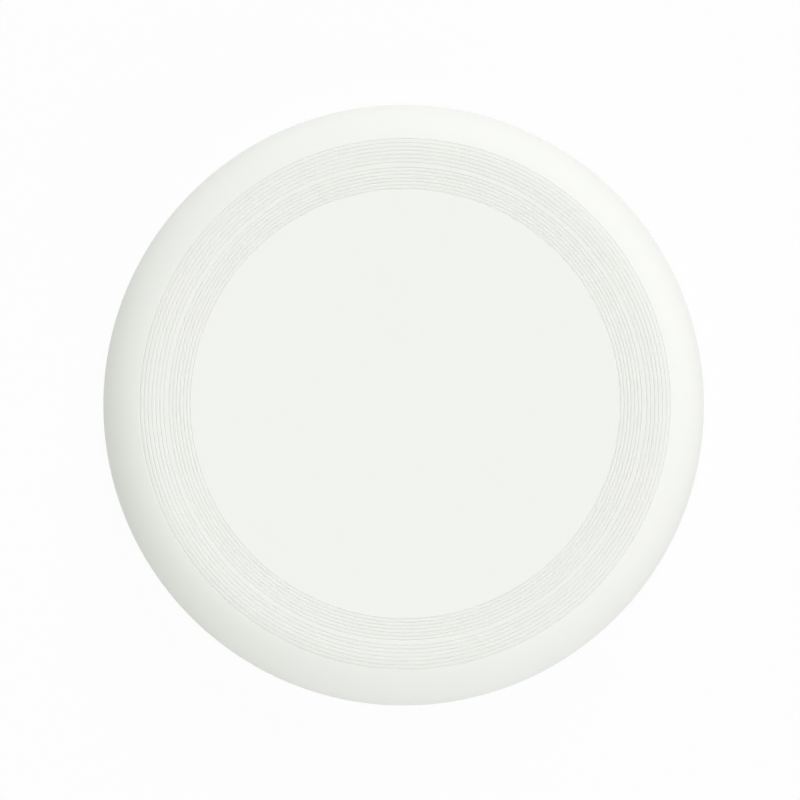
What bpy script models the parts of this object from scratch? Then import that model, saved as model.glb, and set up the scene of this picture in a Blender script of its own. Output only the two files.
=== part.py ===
"""A flying disc: one turned plastic moulding, thrown by hand.

A flat plate is ringed by two bands of fine flight rings, and curves over a shoulder into a deep rim.
The rim is widest at its nose, and ends in a lip that thickens inwards, for the fingers to hold.
Lengths are in metres. The disc lies on its lip on the plane z = 0, with its axis on +Z.
"""

import math

import bmesh
import bpy

# Overall size
DISC_DIAMETER = 0.230
DISC_HEIGHT = 0.027
NOSE_HEIGHT = 0.007  # of the widest line of the rim
SHOULDER_WIDTH = 0.020  # the roll from the flat top out and down to the nose

# Flight rings, from the nose inwards
RING_MARGIN = 0.0147  # from the nose to the centre of the outermost ring
OUTER_RING_PITCH = 0.00149
INNER_RING_PITCH = 0.00133
RINGS_PER_BAND = 7
BAND_GAP = 0.0020  # between the centres of the two rings on either side of the plain strip
RING_WIDTH = 0.0007
RING_DEPTH = 0.00025

# Walls
PLATE_THICKNESS = 0.0017
RIM_WALL = 0.0028  # at the nose

# Rim below the nose
RIM_FACE_RADIUS = 0.021  # curve of the outer face, from the nose to the lip
LIP_OUTER_FILLET = 0.0011
LIP_LAND = 0.0012  # flat foot that the disc rests on
LIP_BEAD_RADIUS = 0.0016  # round inner edge of the lip

# Mark of the injection gate, under the middle of the plate
GATE_DIMPLE_DIAMETER = 0.012
GATE_DIMPLE_DEPTH = 0.0004
GATE_DIMPLE_TAPER = 0.0004  # how far its side leans in
GATE_STUB_DIAMETER = 0.003
GATE_STUB_HEIGHT = 0.00025

# Fineness of the turned surface
TURN_STEPS = 64
SHOULDER_STEPS = 12
RIM_FACE_STEPS = 4
FILLET_STEPS = 3
INNER_WALL_STEPS = 4
INNER_SHOULDER_STEPS = 13
SWELL_HANDLE = 0.55  # how far the inside of the rim runs upright before it swells into the bead
SHARP_EDGE = math.radians(25)
WELD_DISTANCE = 1e-5  # joins the turned surface to itself on the axis and where the turn closes

PLASTIC_COLOUR = (0.888, 0.905, 0.863, 1.0)  # white with a faint green cast
PLASTIC_ROUGHNESS = 0.42
PLASTIC_IOR = 1.51

OUTER_RADIUS = DISC_DIAMETER / 2
FLAT_RADIUS = OUTER_RADIUS - SHOULDER_WIDTH
SHOULDER_RISE = DISC_HEIGHT - NOSE_HEIGHT
SHOULDER_CENTRE = (FLAT_RADIUS, NOSE_HEIGHT)


def ring_radii():
    """Radius of the centre of each flight ring, from the innermost out."""
    radii = []
    radius = OUTER_RADIUS - RING_MARGIN
    for pitch in (OUTER_RING_PITCH, INNER_RING_PITCH):
        for number in range(RINGS_PER_BAND):
            radii.append(radius - number * pitch)
        radius = radii[-1] - BAND_GAP
    return radii[::-1]


def top_height(radius):
    """Height of the top face, without its rings: flat, then a quarter round down to the nose."""
    along = max(0.0, radius - FLAT_RADIUS) / SHOULDER_WIDTH
    return NOSE_HEIGHT + SHOULDER_RISE * math.sqrt(1 - along**2)


def quarter(centre, width, height, start_angle, end_angle, steps):
    """Points of an elliptical arc after its start, up to its end. Angles are from +X, in radians."""
    points = []
    for step in range(1, steps + 1):
        angle = start_angle + (end_angle - start_angle) * step / steps
        points.append((centre[0] + width * math.cos(angle), centre[1] + height * math.sin(angle)))
    return points


def arc(centre, radius, start_angle, end_angle, steps):
    """Points of a round arc after its start, up to its end."""
    return quarter(centre, radius, radius, start_angle, end_angle, steps)


def swell(start, end, steps):
    """Points after the start of a smooth run between two places where the wall stands upright."""
    points = []
    rise = SWELL_HANDLE * (end[1] - start[1])
    corners = (start, (start[0], start[1] + rise), (end[0], end[1] - rise), end)
    for step in range(1, steps + 1):
        t = step / steps
        weights = ((1 - t) ** 3, 3 * t * (1 - t) ** 2, 3 * t**2 * (1 - t), t**3)
        points.append(tuple(sum(w * c[axis] for w, c in zip(weights, corners)) for axis in (0, 1)))
    return points


def top_points():
    """The plate and the flight rings, each ring a vee-shaped groove, from the axis out."""
    points = [(0.0, DISC_HEIGHT)]
    for radius in ring_radii():
        for offset, depth in ((-RING_WIDTH / 2, 0.0), (0.0, RING_DEPTH), (RING_WIDTH / 2, 0.0)):
            points.append((radius + offset, top_height(radius + offset) - depth))
    return points


def shoulder_points(start):
    """The outer face from the last flight ring over the shoulder to the nose."""
    points = [(FLAT_RADIUS, DISC_HEIGHT)] if start[0] < FLAT_RADIUS else []
    angle = math.acos(max(0.0, start[0] - FLAT_RADIUS) / SHOULDER_WIDTH)
    return [*points, *quarter(SHOULDER_CENTRE, SHOULDER_WIDTH, SHOULDER_RISE, angle, 0.0, SHOULDER_STEPS)]


def lip_centre():
    """Centre of the fillet that joins the rim's outer face to the foot, and the angle where they meet."""
    reach = RIM_FACE_RADIUS - LIP_OUTER_FILLET
    fall = NOSE_HEIGHT - LIP_OUTER_FILLET
    along = math.sqrt(reach**2 - fall**2)
    return (OUTER_RADIUS - RIM_FACE_RADIUS + along, LIP_OUTER_FILLET), -math.asin(fall / reach)


def lip_points():
    """The outer face below the nose, the flat foot, and the bead round the inside of the lip."""
    fillet_centre, meeting_angle = lip_centre()
    face_centre = (OUTER_RADIUS - RIM_FACE_RADIUS, NOSE_HEIGHT)
    bead_centre = (fillet_centre[0] - LIP_LAND, LIP_BEAD_RADIUS)
    face = arc(face_centre, RIM_FACE_RADIUS, 0.0, meeting_angle, RIM_FACE_STEPS)
    fillet = arc(fillet_centre, LIP_OUTER_FILLET, meeting_angle, -math.pi / 2, FILLET_STEPS)
    bead_start = (bead_centre[0], 0.0)
    bead = arc(bead_centre, LIP_BEAD_RADIUS, -math.pi / 2, -math.pi, FILLET_STEPS)
    return [*face, *fillet, bead_start, *bead]


def inside_points(bead_end):
    """The inner face of the rim, from the bead up to the nose and over to the flat under the plate."""
    wall = (OUTER_RADIUS - RIM_WALL, NOSE_HEIGHT)
    lower = swell(bead_end, wall, INNER_WALL_STEPS)
    width = SHOULDER_WIDTH - RIM_WALL
    height = SHOULDER_RISE - PLATE_THICKNESS
    return [*lower, *quarter(SHOULDER_CENTRE, width, height, 0.0, math.pi / 2, INNER_SHOULDER_STEPS)]


def gate_points():
    """The mark of the injection gate under the middle of the plate: a dimple with a stub in it."""
    flat = DISC_HEIGHT - PLATE_THICKNESS
    roof = flat + GATE_DIMPLE_DEPTH
    stub_end = roof - GATE_STUB_HEIGHT
    dimple_radius = GATE_DIMPLE_DIAMETER / 2
    stub_radius = GATE_STUB_DIAMETER / 2
    dimple = [(dimple_radius, flat), (dimple_radius - GATE_DIMPLE_TAPER, roof)]
    return [*dimple, (stub_radius, roof), (stub_radius, stub_end), (0.0, stub_end)]


def section_points():
    """Half of the disc's section, as (radius, height), from the top of the axis round to its underside."""
    top = top_points()
    outside = [*top, *shoulder_points(top[-1]), *lip_points()]
    return [*outside, *inside_points(outside[-1]), *gate_points()]


def clear_scene():
    for obj in list(bpy.data.objects):
        bpy.data.objects.remove(obj, do_unlink=True)


def plastic(name):
    material = bpy.data.materials.new(name)
    material.use_nodes = True
    shader = material.node_tree.nodes["Principled BSDF"]
    shader.inputs["Base Color"].default_value = PLASTIC_COLOUR
    shader.inputs["Roughness"].default_value = PLASTIC_ROUGHNESS
    shader.inputs["Metallic"].default_value = 0.0
    shader.inputs["IOR"].default_value = PLASTIC_IOR
    material.diffuse_color = PLASTIC_COLOUR
    return material


def turned(name, points, collection):
    """The solid that this half section sweeps in one turn about the Z axis."""
    profile = bmesh.new()
    corners = [profile.verts.new((radius, 0.0, height)) for radius, height in points]
    for first, second in zip(corners, corners[1:]):
        profile.edges.new((first, second))
    mesh = bpy.data.meshes.new(name + "_section")
    profile.to_mesh(mesh)
    profile.free()
    section = bpy.data.objects.new(name + "_section", mesh)
    collection.objects.link(section)
    screw = section.modifiers.new("turn", "SCREW")
    screw.axis = "Z"
    screw.steps = screw.render_steps = TURN_STEPS
    screw.use_merge_vertices = True
    screw.merge_threshold = WELD_DISTANCE
    bpy.context.view_layer.update()
    evaluated = section.evaluated_get(bpy.context.evaluated_depsgraph_get())
    solid = bpy.data.objects.new(name, bpy.data.meshes.new_from_object(evaluated))
    solid.data.name = name
    bpy.data.objects.remove(section, do_unlink=True)
    bpy.data.meshes.remove(mesh)
    collection.objects.link(solid)
    solid.data.shade_smooth()
    solid.data.set_sharp_from_angle(angle=SHARP_EDGE)
    return solid


def build():
    clear_scene()
    collection = bpy.data.collections.new("flying_disc")
    bpy.context.scene.collection.children.link(collection)
    disc = turned("disc_body", section_points(), collection)
    disc.data.materials.clear()
    disc.data.materials.append(plastic("white_plastic"))


build()
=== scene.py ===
"""The looks of the flying disc: its fine turned surface, its white plastic, and a soft white studio.

Lengths are in metres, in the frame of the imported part. The disc lies on z = 0 with its axis on +Z.
"""

import math

import bmesh
import bpy
from mathutils import Matrix, Vector


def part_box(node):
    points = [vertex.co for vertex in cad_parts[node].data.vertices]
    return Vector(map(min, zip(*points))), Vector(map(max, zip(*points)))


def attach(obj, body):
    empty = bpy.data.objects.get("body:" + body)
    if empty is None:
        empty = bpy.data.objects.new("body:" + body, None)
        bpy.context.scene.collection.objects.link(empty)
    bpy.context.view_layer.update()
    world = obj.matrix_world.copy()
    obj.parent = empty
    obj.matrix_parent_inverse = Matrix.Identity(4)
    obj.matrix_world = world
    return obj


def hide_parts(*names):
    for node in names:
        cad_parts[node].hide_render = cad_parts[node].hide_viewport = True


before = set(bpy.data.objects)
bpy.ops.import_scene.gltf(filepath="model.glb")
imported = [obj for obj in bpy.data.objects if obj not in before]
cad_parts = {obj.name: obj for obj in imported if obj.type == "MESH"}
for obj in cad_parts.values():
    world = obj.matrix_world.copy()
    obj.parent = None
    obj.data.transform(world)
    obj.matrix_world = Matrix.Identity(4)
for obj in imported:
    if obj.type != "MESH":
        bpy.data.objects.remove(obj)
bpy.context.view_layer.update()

NODE = "disc_body"
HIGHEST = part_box(NODE)[1]
OUTER_RADIUS = HIGHEST.x
DISC_HEIGHT = HIGHEST.z

# Section of the disc, as in the part
NOSE_HEIGHT = 0.007  # of the widest line of the rim
SHOULDER_WIDTH = 0.020  # the roll from the flat top out and down to the nose
RING_MARGIN = 0.0147  # from the nose to the centre of the outermost ring
OUTER_RING_PITCH = 0.00149
INNER_RING_PITCH = 0.00133
RINGS_PER_BAND = 7
BAND_GAP = 0.0020  # between the centres of the two rings on either side of the plain strip
RING_WIDTH = 0.0007
RING_DEPTH = 0.00025
PLATE_THICKNESS = 0.0017
RIM_WALL = 0.0028  # at the nose
RIM_FACE_RADIUS = 0.021  # curve of the outer face, from the nose to the lip
LIP_OUTER_FILLET = 0.0011
LIP_LAND = 0.0012  # flat foot that the disc rests on
LIP_BEAD_RADIUS = 0.0016  # round inner edge of the lip
GATE_DIMPLE_DIAMETER = 0.012
GATE_DIMPLE_DEPTH = 0.0004
GATE_DIMPLE_TAPER = 0.0004  # how far its side leans in
GATE_STUB_DIAMETER = 0.003
GATE_STUB_HEIGHT = 0.00025
SWELL_HANDLE = 0.55  # how far the inside of the rim runs upright before it swells into the bead

FLAT_RADIUS = OUTER_RADIUS - SHOULDER_WIDTH
SHOULDER_RISE = DISC_HEIGHT - NOSE_HEIGHT
SHOULDER_CENTRE = (FLAT_RADIUS, NOSE_HEIGHT)

# Fineness of the surface that is shown
TURN_STEPS = 240
PLATE_STEPS = 8
RING_STEPS = 12
RING_BRINK = 0.00008  # plain strip beside a ring, which keeps the shading of the plate level up to it
SHOULDER_STEPS = 56
RIM_FACE_STEPS = 20
FILLET_STEPS = 10
FOOT_STEPS = 3
INNER_WALL_STEPS = 20
WELD_DISTANCE = 1e-6  # joins the turned surface to itself on the axis and where the turn closes
SHARP_EDGE = math.radians(40)

# White plastic
PLASTIC_PALE = (0.891, 0.908, 0.866, 1.0)
PLASTIC_DEEP = (0.885, 0.902, 0.860, 1.0)
PLASTIC_IOR = 1.51
PLASTIC_SHINE = 0.3
PLASTIC_ROUGHNESS = 0.5
ROUGHNESS_SWING = 0.04
SHEEN_PER_METRE = 60.0  # patches of a little more and a little less sheen
SHEEN_DETAIL = 5.0
FLOW_PER_METRE = 9.0  # pale and deep streaks that the plastic left as it ran from the gate to the rim
FLOW_DETAIL = 4.0
FLOW_STREAKS = 1.6  # metres by which the noise is read further out, which draws it into rays
GRAIN_PER_METRE = 2600.0  # the grain of the mould
GRAIN_DETAIL = 3.0
GRAIN_DEPTH = 0.00002
GRAIN_STRENGTH = 0.35
NOISE_MIDDLE = (0.3, 0.7)  # where nearly all of a noise lies

# Painted shade in the bands of rings, where the grooves lie in shade, as a share of the most, which lies in
# the beds of the rings
PAINTED_SHADE = "painted_shade"
PAINTED_SHADE_BETWEEN = 0.6  # on the plastic between two rings
PAINTED_SHADE_ON_STRIP = 0.3  # on the plain strip between the bands
PAINTED_SHADE_COVER = 0.13  # how much the deepest painted shade darkens the plastic
# a darker copy of the plastic's own colour, painted in as shade
PAINTED_SHADE_COLOUR = (0.45, 0.459, 0.437, 1.0)
PAINTED_SHADE_REACH = 2 * RING_DEPTH  # below the top face: deeper points are on the underside

# Studio
WHITE = (1.0, 1.0, 1.0, 1.0)
FLOOR_SIZE = 6.0
FLOOR_DROP = 0.0002  # keeps the floor clear of the foot
FLOOR_COLOUR = (0.85, 0.85, 0.85, 1.0)
FLOOR_WHITENESS = 0.92
ROOM_COLOUR = (0.95, 1.0, 0.85, 1.0)
ROOM_LIGHT = 0.374
LAMP_COLOUR = (0.945, 0.910, 1.0)
LAMP_SPREAD = math.radians(40)
LAMPS = (  # name, degrees from +X towards +Y, degrees up, and strength, where 1 shows white as white
    ("key", 72, 25, 0.4017),
    ("top", 0, 90, 0.4148),
    ("side", 315, 11, 0.1421),
    ("front", 288, 25, 0.1541),
)

# Camera
CAMERA_DISTANCE = 1.5
CAMERA_LEAN = math.radians(-1.08)
CAMERA_TILT = math.radians(1.35)
CAMERA_ASIDE = (-0.0014, 0.0020)
FOCAL_PIXELS = 3897
FRAME_PIXELS = 800
SENSOR_WIDTH = 36.0

# Sockets of a Mix node that is set to colours
MIX_SHARE = 0
MIX_FIRST = 6
MIX_SECOND = 7
MIX_RESULT = 2


def ring_radii():
    """Radius of the centre of each flight ring, from the innermost out."""
    radii = []
    radius = OUTER_RADIUS - RING_MARGIN
    for pitch in (OUTER_RING_PITCH, INNER_RING_PITCH):
        for number in range(RINGS_PER_BAND):
            radii.append(radius - number * pitch)
        radius = radii[-1] - BAND_GAP
    return radii[::-1]


def top_height(radius):
    """Height of the top face, without its rings: flat, then a quarter round down to the nose."""
    along = max(0.0, radius - FLAT_RADIUS) / SHOULDER_WIDTH
    return NOSE_HEIGHT + SHOULDER_RISE * math.sqrt(1 - along**2)


def quarter(centre, width, height, start_angle, end_angle, steps):
    """Points of an elliptical arc after its start, up to its end. Angles are from +X, in radians."""
    points = []
    for step in range(1, steps + 1):
        angle = start_angle + (end_angle - start_angle) * step / steps
        points.append((centre[0] + width * math.cos(angle), centre[1] + height * math.sin(angle)))
    return points


def arc(centre, radius, start_angle, end_angle, steps):
    """Points of a round arc after its start, up to its end."""
    return quarter(centre, radius, radius, start_angle, end_angle, steps)


def straight(start, end, steps):
    """Points of a straight run after its start, up to its end."""
    shares = [step / steps for step in range(1, steps + 1)]
    return [(start[0] + (end[0] - start[0]) * t, start[1] + (end[1] - start[1]) * t) for t in shares]


def swell(start, end, steps):
    """Points after the start of a smooth run between two places where the wall stands upright."""
    points = []
    rise = SWELL_HANDLE * (end[1] - start[1])
    corners = (start, (start[0], start[1] + rise), (end[0], end[1] - rise), end)
    for step in range(1, steps + 1):
        t = step / steps
        weights = ((1 - t) ** 3, 3 * t * (1 - t) ** 2, 3 * t**2 * (1 - t), t**3)
        points.append(tuple(sum(w * c[axis] for w, c in zip(weights, corners)) for axis in (0, 1)))
    return points


def ring_points(radius):
    """One flight ring: a groove with a rounded bed and rounded brinks, and a plain strip on both sides."""
    inner, outer = radius - RING_WIDTH / 2, radius + RING_WIDTH / 2
    points = [(inner - RING_BRINK, top_height(inner - RING_BRINK))]
    for step in range(RING_STEPS + 1):
        place = inner + RING_WIDTH * step / RING_STEPS
        depth = RING_DEPTH * (1 - math.cos(2 * math.pi * step / RING_STEPS)) / 2
        points.append((place, top_height(place) - depth))
    points.append((outer + RING_BRINK, top_height(outer + RING_BRINK)))
    return points


def top_points():
    """The plate and the flight rings, from the axis out."""
    plate_edge = ring_radii()[0] - RING_WIDTH / 2 - RING_BRINK
    plate = straight((0.0, DISC_HEIGHT), (plate_edge, DISC_HEIGHT), PLATE_STEPS)
    rings = [point for radius in ring_radii() for point in ring_points(radius)]
    return [(0.0, DISC_HEIGHT), *plate[:-1], *rings]


def shoulder_points(start):
    """The outer face from the last flight ring over the shoulder to the nose."""
    angle = math.acos(max(0.0, start[0] - FLAT_RADIUS) / SHOULDER_WIDTH)
    return quarter(SHOULDER_CENTRE, SHOULDER_WIDTH, SHOULDER_RISE, angle, 0.0, SHOULDER_STEPS)


def lip_centre():
    """Centre of the fillet that joins the rim's outer face to the foot, and the angle where they meet."""
    reach = RIM_FACE_RADIUS - LIP_OUTER_FILLET
    fall = NOSE_HEIGHT - LIP_OUTER_FILLET
    along = math.sqrt(reach**2 - fall**2)
    return (OUTER_RADIUS - RIM_FACE_RADIUS + along, LIP_OUTER_FILLET), -math.asin(fall / reach)


def lip_points():
    """The outer face below the nose, the flat foot, and the bead round the inside of the lip."""
    fillet_centre, meeting_angle = lip_centre()
    face_centre = (OUTER_RADIUS - RIM_FACE_RADIUS, NOSE_HEIGHT)
    bead_centre = (fillet_centre[0] - LIP_LAND, LIP_BEAD_RADIUS)
    face = arc(face_centre, RIM_FACE_RADIUS, 0.0, meeting_angle, RIM_FACE_STEPS)
    fillet = arc(fillet_centre, LIP_OUTER_FILLET, meeting_angle, -math.pi / 2, FILLET_STEPS)
    foot = straight((fillet_centre[0], 0.0), (bead_centre[0], 0.0), FOOT_STEPS)
    bead = arc(bead_centre, LIP_BEAD_RADIUS, -math.pi / 2, -math.pi, FILLET_STEPS)
    return [*face, *fillet, *foot, *bead]


def inside_points(bead_end):
    """The inner face of the rim, from the bead up to the nose and over to the flat under the plate."""
    wall = (OUTER_RADIUS - RIM_WALL, NOSE_HEIGHT)
    lower = swell(bead_end, wall, INNER_WALL_STEPS)
    width = SHOULDER_WIDTH - RIM_WALL
    height = SHOULDER_RISE - PLATE_THICKNESS
    return [*lower, *quarter(SHOULDER_CENTRE, width, height, 0.0, math.pi / 2, SHOULDER_STEPS)]


def underside_points():
    """The face under the plate, in to the dimple and the stub of the injection gate."""
    flat = DISC_HEIGHT - PLATE_THICKNESS
    roof = flat + GATE_DIMPLE_DEPTH
    stub_end = roof - GATE_STUB_HEIGHT
    dimple_radius = GATE_DIMPLE_DIAMETER / 2
    stub_radius = GATE_STUB_DIAMETER / 2
    points = straight((FLAT_RADIUS, flat), (dimple_radius, flat), PLATE_STEPS)
    points.append((dimple_radius - GATE_DIMPLE_TAPER, roof))
    return [*points, (stub_radius, roof), (stub_radius, stub_end), (0.0, stub_end)]


def section_points():
    """Half of the disc's section, as (radius, height), from the top of the axis round to its underside."""
    top = top_points()
    outside = [*top, *shoulder_points(top[-1]), *lip_points()]
    return [*outside, *inside_points(outside[-1]), *underside_points()]


def turned(name, points):
    """The closed surface that this half section sweeps in one turn about the Z axis."""
    profile = bmesh.new()
    corners = [profile.verts.new((radius, 0.0, height)) for radius, height in points]
    for first, second in zip(corners, corners[1:]):
        profile.edges.new((first, second))
    mesh = bpy.data.meshes.new(name + "_section")
    profile.to_mesh(mesh)
    profile.free()
    section = bpy.data.objects.new(name + "_section", mesh)
    bpy.context.scene.collection.objects.link(section)
    screw = section.modifiers.new("turn", "SCREW")
    screw.axis = "Z"
    screw.steps = screw.render_steps = TURN_STEPS
    screw.use_merge_vertices = True
    screw.merge_threshold = WELD_DISTANCE
    bpy.context.view_layer.update()
    evaluated = section.evaluated_get(bpy.context.evaluated_depsgraph_get())
    solid = bpy.data.objects.new(name, bpy.data.meshes.new_from_object(evaluated))
    solid.data.name = name
    bpy.data.objects.remove(section, do_unlink=True)
    bpy.data.meshes.remove(mesh)
    bpy.context.scene.collection.objects.link(solid)
    solid.data.shade_smooth()
    solid.data.set_sharp_from_angle(angle=SHARP_EDGE)
    return solid


def paint_groove_shade(disc):
    """Keep with every point the share of painted shade there: the bands of rings hold it, and their beds,
    deepest in shade, the most.
    """
    radii = ring_radii()
    bands = (radii[:RINGS_PER_BAND], radii[RINGS_PER_BAND:])
    reach = RING_WIDTH / 2 + WELD_DISTANCE
    painted_shade = disc.data.attributes.new(PAINTED_SHADE, "FLOAT", "POINT")
    for vertex in disc.data.vertices:
        radius = math.hypot(vertex.co.x, vertex.co.y)
        if not radii[0] - reach < radius < radii[-1] + reach:
            continue
        depth = top_height(radius) - vertex.co.z
        if depth < PAINTED_SHADE_REACH:
            in_band = any(band[0] - reach < radius < band[-1] + reach for band in bands)
            least = PAINTED_SHADE_BETWEEN if in_band else PAINTED_SHADE_ON_STRIP
            painted_shade.data[vertex.index].value = least + (1 - least) * depth / RING_DEPTH


def noise(tree, place, scale, detail):
    """Soft noise from 0 to 1, with this many lumps to the metre."""
    texture = tree.nodes.new("ShaderNodeTexNoise")
    texture.inputs["Scale"].default_value = scale
    texture.inputs["Detail"].default_value = detail
    tree.links.new(place, texture.inputs["Vector"])
    return texture.outputs["Fac"]


def spread(tree, value, low, high):
    """The middle of a noise, spread out between two numbers."""
    span = tree.nodes.new("ShaderNodeMapRange")
    span.inputs["From Min"].default_value, span.inputs["From Max"].default_value = NOISE_MIDDLE
    span.inputs["To Min"].default_value = low
    span.inputs["To Max"].default_value = high
    tree.links.new(value, span.inputs["Value"])
    return span.outputs["Result"]


def flow_place(tree, place):
    """Texture coordinates drawn out along the radius, as the plastic ran from the gate to the rim."""
    flat = tree.nodes.new("ShaderNodeVectorMath")
    flat.operation = "MULTIPLY"
    flat.inputs[1].default_value = (1.0, 1.0, 0.0)
    tree.links.new(place, flat.inputs[0])
    heading = tree.nodes.new("ShaderNodeVectorMath")
    heading.operation = "NORMALIZE"
    tree.links.new(flat.outputs[0], heading.inputs[0])
    along = tree.nodes.new("ShaderNodeVectorMath")
    along.operation = "MULTIPLY_ADD"
    along.inputs[1].default_value = (FLOW_STREAKS, FLOW_STREAKS, 0.0)
    tree.links.new(heading.outputs[0], along.inputs[0])
    tree.links.new(place, along.inputs[2])
    return along.outputs[0]


def combined(tree, operation, first, second):
    """A number from two, by this operation. The first comes from a node, and the second may."""
    node = tree.nodes.new("ShaderNodeMath")
    node.operation = operation
    tree.links.new(first, node.inputs[0])
    if isinstance(second, float):
        node.inputs[1].default_value = second
    else:
        tree.links.new(second, node.inputs[1])
    return node.outputs[0]


def mixed(tree, share, first, second):
    """A colour on the way from the first, which may come from a node, to the second."""
    mix = tree.nodes.new("ShaderNodeMix")
    mix.data_type = "RGBA"
    tree.links.new(share, mix.inputs[MIX_SHARE])
    if isinstance(first, tuple):
        mix.inputs[MIX_FIRST].default_value = first
    else:
        tree.links.new(first, mix.inputs[MIX_FIRST])
    mix.inputs[MIX_SECOND].default_value = second
    return mix.outputs[MIX_RESULT]


def white_plastic():
    """Satin white polyethylene, with a fine grain, faint flow marks, a sheen that varies a little, and
    painted shade in the bands of rings.
    """
    material = bpy.data.materials.new("white_plastic")
    material.use_nodes = True
    tree = material.node_tree
    shader = tree.nodes["Principled BSDF"]
    shader.inputs["IOR"].default_value = PLASTIC_IOR
    shader.inputs["Specular IOR Level"].default_value = PLASTIC_SHINE
    place = tree.nodes.new("ShaderNodeTexCoord").outputs["Object"]

    streaks = noise(tree, flow_place(tree, place), FLOW_PER_METRE, FLOW_DETAIL)
    unshaded = mixed(tree, spread(tree, streaks, 0.0, 1.0), PLASTIC_DEEP, PLASTIC_PALE)
    # Painted shade: the beds of the rings and the bands between them are darkened in the colour, as shade in
    # the grooves
    painted_shade = tree.nodes.new("ShaderNodeAttribute")
    painted_shade.attribute_name = PAINTED_SHADE
    cover = combined(tree, "MULTIPLY", painted_shade.outputs["Fac"], PAINTED_SHADE_COVER)
    tree.links.new(mixed(tree, cover, unshaded, PAINTED_SHADE_COLOUR), shader.inputs["Base Color"])

    patches = noise(tree, place, SHEEN_PER_METRE, SHEEN_DETAIL)
    smoothest, roughest = PLASTIC_ROUGHNESS - ROUGHNESS_SWING, PLASTIC_ROUGHNESS + ROUGHNESS_SWING
    tree.links.new(spread(tree, patches, smoothest, roughest), shader.inputs["Roughness"])

    grain = tree.nodes.new("ShaderNodeBump")
    grain.inputs["Strength"].default_value = GRAIN_STRENGTH
    grain.inputs["Distance"].default_value = GRAIN_DEPTH
    tree.links.new(noise(tree, place, GRAIN_PER_METRE, GRAIN_DETAIL), grain.inputs["Height"])
    tree.links.new(grain.outputs["Normal"], shader.inputs["Normal"])
    return material


def seen_directly(tree):
    """1 for what the camera, a reflection or clear plastic shows, 0 for the light on things."""
    path = tree.nodes.new("ShaderNodeLightPath")
    seen = path.outputs["Is Camera Ray"]
    for ray in ("Is Glossy Ray", "Is Transmission Ray"):
        seen = combined(tree, "MAXIMUM", seen, path.outputs[ray])
    return seen


def merged(tree, share, first, second):
    """The first shader, with this share of the second in its place."""
    mix = tree.nodes.new("ShaderNodeMixShader")
    tree.links.new(share, mix.inputs["Fac"])
    tree.links.new(first.outputs[0], mix.inputs[1])
    tree.links.new(second.outputs[0], mix.inputs[2])
    return mix.outputs[0]


def white_floor():
    """A pale floor that shows nearly white, and keeps a little of the shadow that falls on it."""
    material = bpy.data.materials.new("floor_white")
    material.use_nodes = True
    tree = material.node_tree
    tree.nodes.clear()
    output = tree.nodes.new("ShaderNodeOutputMaterial")
    diffuse = tree.nodes.new("ShaderNodeBsdfDiffuse")
    diffuse.inputs["Color"].default_value = FLOOR_COLOUR
    white = tree.nodes.new("ShaderNodeEmission")
    white.inputs["Color"].default_value = WHITE
    share = combined(tree, "MULTIPLY", seen_directly(tree), FLOOR_WHITENESS)
    tree.links.new(merged(tree, share, diffuse, white), output.inputs["Surface"])
    return material


def studio_world():
    """The soft light of the room. The camera and reflections see it as plain white."""
    world = bpy.data.worlds.new("studio")
    world.use_nodes = True
    tree = world.node_tree
    tree.nodes.clear()
    output = tree.nodes.new("ShaderNodeOutputWorld")
    light = tree.nodes.new("ShaderNodeBackground")
    light.inputs["Color"].default_value = ROOM_COLOUR
    light.inputs["Strength"].default_value = ROOM_LIGHT
    white = tree.nodes.new("ShaderNodeBackground")
    white.inputs["Color"].default_value = WHITE
    tree.links.new(merged(tree, seen_directly(tree), light, white), output.inputs["Surface"])
    return world


def lamp(name, azimuth, elevation, strength):
    """A broad soft lamp far off."""
    data = bpy.data.lights.new(name, "SUN")
    data.energy = strength * math.pi
    data.angle = LAMP_SPREAD
    data.color = LAMP_COLOUR
    azimuth, elevation = math.radians(azimuth), math.radians(elevation)
    flat = math.cos(elevation)
    towards = Vector((math.cos(azimuth) * flat, math.sin(azimuth) * flat, math.sin(elevation)))
    obj = bpy.data.objects.new(name, data)
    obj.location = towards
    obj.rotation_mode = "QUATERNION"
    obj.rotation_quaternion = towards.to_track_quat("Z", "Y")
    obj.visible_glossy = False  # the sheen shows the white studio, and no lamp burns a spot into it
    bpy.context.scene.collection.objects.link(obj)


def overhead_camera():
    """The photograph's camera: far above the disc, and a little out of plumb."""
    data = bpy.data.cameras.new("camera")
    data.sensor_width = SENSOR_WIDTH
    data.lens = FOCAL_PIXELS / FRAME_PIXELS * SENSOR_WIDTH
    camera = bpy.data.objects.new("camera", data)
    turn = Matrix.Rotation(CAMERA_LEAN, 4, "Y") @ Matrix.Rotation(CAMERA_TILT, 4, "X")
    camera.matrix_world = turn @ Matrix.Translation((*CAMERA_ASIDE, CAMERA_DISTANCE))
    bpy.context.scene.collection.objects.link(camera)
    return camera


disc = turned("disc_surface", section_points())
paint_groove_shade(disc)
disc.data.materials.clear()
disc.data.materials.append(white_plastic())
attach(disc, "root")
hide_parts(NODE)

bpy.ops.mesh.primitive_plane_add(size=FLOOR_SIZE, location=(0, 0, -FLOOR_DROP))
floor = bpy.context.object
floor.name = "floor"
floor.data.materials.append(white_floor())

bpy.context.scene.world = studio_world()
for name, azimuth, elevation, strength in LAMPS:
    lamp(name, azimuth, elevation, strength)
bpy.context.scene.camera = overhead_camera()
bpy.context.scene.view_settings.view_transform = "Standard"
